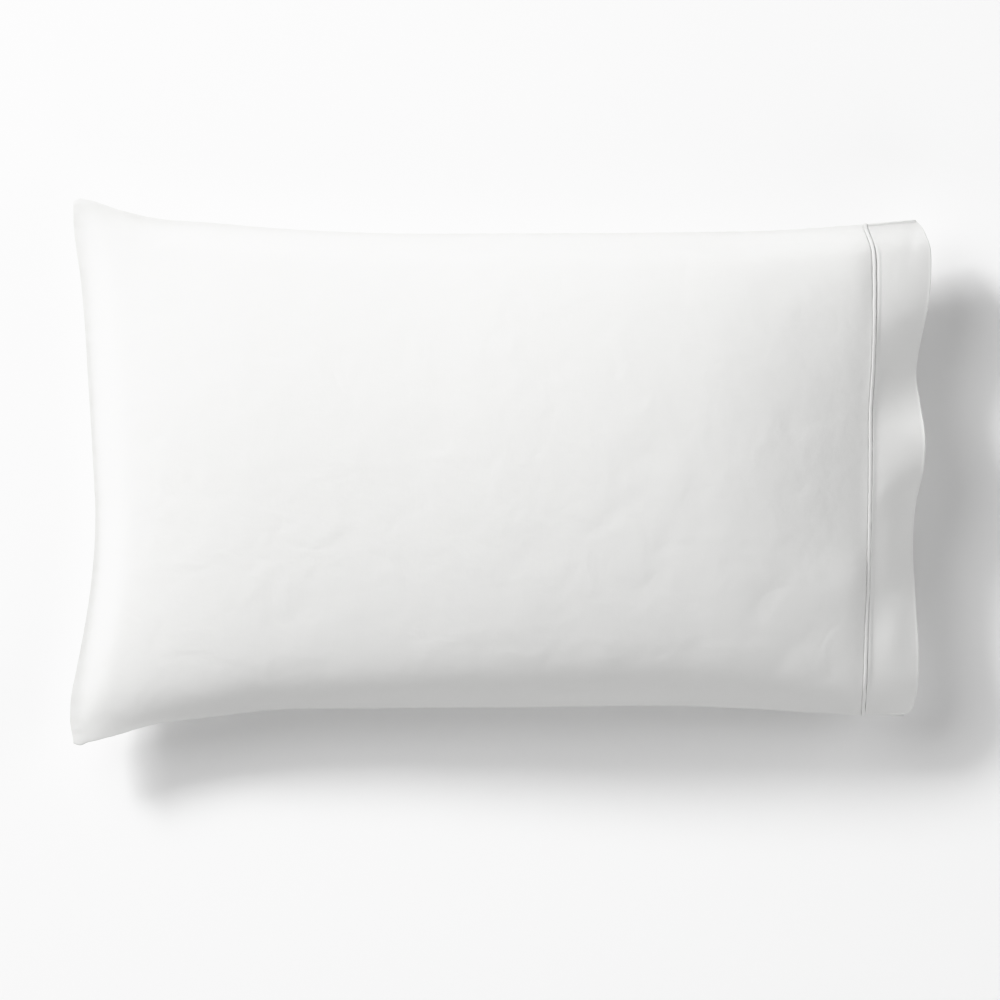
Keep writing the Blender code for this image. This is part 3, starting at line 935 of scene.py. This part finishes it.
def soft_light(given, strength):
    """A round soft light that stands some way off in a direction and faces the case."""
    name = str(given["name"])
    light = bpy.data.lights.new(name, "AREA")
    light.shape = "DISK"
    light.size = given["size"]
    light.energy = given["power"] * strength
    holder = bpy.data.objects.new(name, light)
    direction = Vector(given["way"]).normalized()
    holder.location = direction * float(given["distance"]) + Vector((0.0, 0.0, LIGHT_AIM))
    holder.rotation_euler = direction.to_track_quat("Z", "Y").to_euler()
    holder.visible_camera = False
    bpy.context.scene.collection.objects.link(holder)


def soften_highlights(view):
    """Gives the picture a curve that is straight up to a level and bends to a limit above it.

    Above that level the rest of the way to the limit shrinks as an exponential, so no white clips."""
    view.view_transform = "Standard"
    view.use_curve_mapping = True
    mapping = view.curve_mapping
    mapping.clip_max_x = BRIGHTEST_IN
    curve = mapping.curves[3]
    curve.points[1].location = (BRIGHTEST_IN, BRIGHTEST_OUT)
    room = BRIGHTEST_OUT - BEND_FROM
    places = np.array(BEND_PLACES)
    bent = BRIGHTEST_OUT - room * np.exp(-(places - BEND_FROM) / room)
    for place, level in zip(places, np.where(places > BEND_FROM, bent, places)):
        curve.points.new(place, level)
    mapping.update()


# ---- operators

class CaseBuilder(bpy.types.Operator):
    """Build the filled case with its folds, seams and the filling's end"""
    bl_idname = "pillowcase.build_case"
    bl_label = "Case"

    def execute(self, context):
        scene = context.scene
        shared_groups()
        grid = case_points(scene.case_settings.crease, scene.case_settings.pucker,
                           scene.piping_settings.width)
        rows, columns = grid.shape[:2]
        quads, uv = wrapped_faces(rows, columns)
        back_quads, back_ends = loop_lid(0, columns, True)
        front_quads, front_ends = loop_lid((rows - 1) * columns, columns, False)
        faces = np.concatenate([quads, back_quads, front_quads]).tolist()
        faces += np.concatenate([back_ends, front_ends]).tolist()
        lid_corners = 4 * (len(back_quads) + len(front_quads)) + 3 * 4
        uv = np.concatenate([uv, np.zeros((lid_corners, 2))]) * (2.0 * FLAT_WIDTH, CASE_LENGTH)
        material = cotton("case_cotton", scene.cotton_settings)
        piece = add_piece("case_cloth", grid, faces, uv, material)
        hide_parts("case_body")
        return {"FINISHED"}


class PipingBuilder(bpy.types.Operator):
    """Build the piping round the join and the row of stitches beside it"""
    bl_idname = "pillowcase.build_piping"
    bl_label = "Piping and stitches"

    def execute(self, context):
        scene = context.scene
        shared_groups()
        sizes = scene.piping_settings
        material = cotton("piping_cotton", scene.cotton_settings)
        grid = piping_points(sizes.width, sizes.proud)
        quads, uv = wrapped_faces(*grid.shape[:2], close_rows=True)
        uv = uv * (2.0 * FLAT_WIDTH, 3.0 * sizes.width)
        piece = add_piece("piping_strip", grid, quads.tolist(), uv, material)
        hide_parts("piping")

        spots = stitch_points(sizes.width, sizes.stitch, sizes.stitch_gap, sizes.thread)
        faces = stitch_faces(len(spots))
        corners = sum(map(len, faces))
        row = add_piece("join_stitches", spots, faces, np.zeros((corners, 2)), material)
        return {"FINISHED"}


class CuffBuilder(bpy.types.Operator):
    """Build the open cuff of doubled cloth"""
    bl_idname = "pillowcase.build_cuff"
    bl_label = "Cuff"

    def execute(self, context):
        scene = context.scene
        shared_groups()
        sizes = scene.cuff_settings
        grid = cuff_points(sizes.thick, sizes.bead, sizes.crease, scene.piping_settings.width)
        quads, uv = wrapped_faces(*grid.shape[:2], close_rows=True)
        material = cotton("cuff_cotton", scene.cotton_settings)
        piece = add_piece("cuff_band", grid, quads.tolist(),
                          uv * (2.0 * FLAT_WIDTH, 2.0 * CUFF_DEPTH), material)
        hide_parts("cuff")
        return {"FINISHED"}


class StageBuilder(bpy.types.Operator):
    """Build the floor, the lights and the camera that looks straight down"""
    bl_idname = "pillowcase.build_stage"
    bl_label = "Stage"

    def execute(self, context):
        scene = context.scene
        stage = scene.stage_settings
        half = stage.floor_size / 2.0
        mesh = bpy.data.meshes.new("floor")
        mesh.from_pydata([(-half, -half, 0.0), (half, -half, 0.0), (half, half, 0.0),
                          (-half, half, 0.0)], [], [(0, 1, 2, 3)])
        mesh.materials.append(plain_paint("floor_paint", stage.floor_colour))
        floor = bpy.data.objects.new("floor", mesh)
        scene.collection.objects.link(floor)

        for given in LIGHTS:
            soft_light(given, stage.light)
        world = bpy.data.worlds.new("even light")
        world.use_nodes = True
        background = world.node_tree.nodes["Background"]
        background.inputs["Strength"].default_value = stage.even_light
        background.inputs["Color"].default_value = EVEN_COLOUR
        scene.world = world
        soften_highlights(scene.view_settings)

        camera = bpy.data.cameras.new("camera")
        camera.lens = stage.lens
        camera.sensor_width = SENSOR
        above = stage.view_width * stage.lens / SENSOR
        holder = bpy.data.objects.new("camera", camera)
        holder.location = (0.0, CAMERA_Y, above + VIEW_HEIGHT)
        camera.clip_end = CLIP_END
        scene.collection.objects.link(holder)
        scene.camera = holder
        return {"FINISHED"}


class PillowcasePanel(bpy.types.Panel):
    """Lists the pieces and their sizes in the sidebar"""
    bl_idname = "VIEW3D_PT_pillowcase"
    bl_label = "Pillowcase"
    bl_space_type = "VIEW_3D"
    bl_region_type = "UI"
    bl_category = "Pillowcase"

    def draw(self, context):
        for builder, groups in PARTS:
            box = self.layout.box()
            box.operator(builder.bl_idname)
            for group in groups:
                settings = getattr(context.scene, group)
                for name in settings.__annotations__:
                    box.prop(settings, name)


SETTINGS = {
    "cotton_settings": CottonSettings,
    "case_settings": CaseSettings,
    "piping_settings": PipingSettings,
    "cuff_settings": CuffSettings,
    "stage_settings": StageSettings,
}
PARTS = [
    (CaseBuilder, ["cotton_settings", "case_settings"]),
    (PipingBuilder, ["piping_settings"]),
    (CuffBuilder, ["cuff_settings"]),
    (StageBuilder, ["stage_settings"]),
]


def register():
    for kind in SETTINGS.values():
        bpy.utils.register_class(kind)
    for name, kind in SETTINGS.items():
        setattr(bpy.types.Scene, name, PointerProperty(type=kind))
    for builder, _ in PARTS:
        bpy.utils.register_class(builder)
    bpy.utils.register_class(PillowcasePanel)


def unregister():
    bpy.utils.unregister_class(PillowcasePanel)
    for builder, _ in reversed(PARTS):
        bpy.utils.unregister_class(builder)
    for name in SETTINGS:
        delattr(bpy.types.Scene, name)
    for kind in reversed(SETTINGS.values()):
        bpy.utils.unregister_class(kind)


def main():
    register()
    bpy.ops.pillowcase.build_case()
    bpy.ops.pillowcase.build_piping()
    bpy.ops.pillowcase.build_cuff()
    bpy.ops.pillowcase.build_stage()


if __name__ == "__main__":
    main()
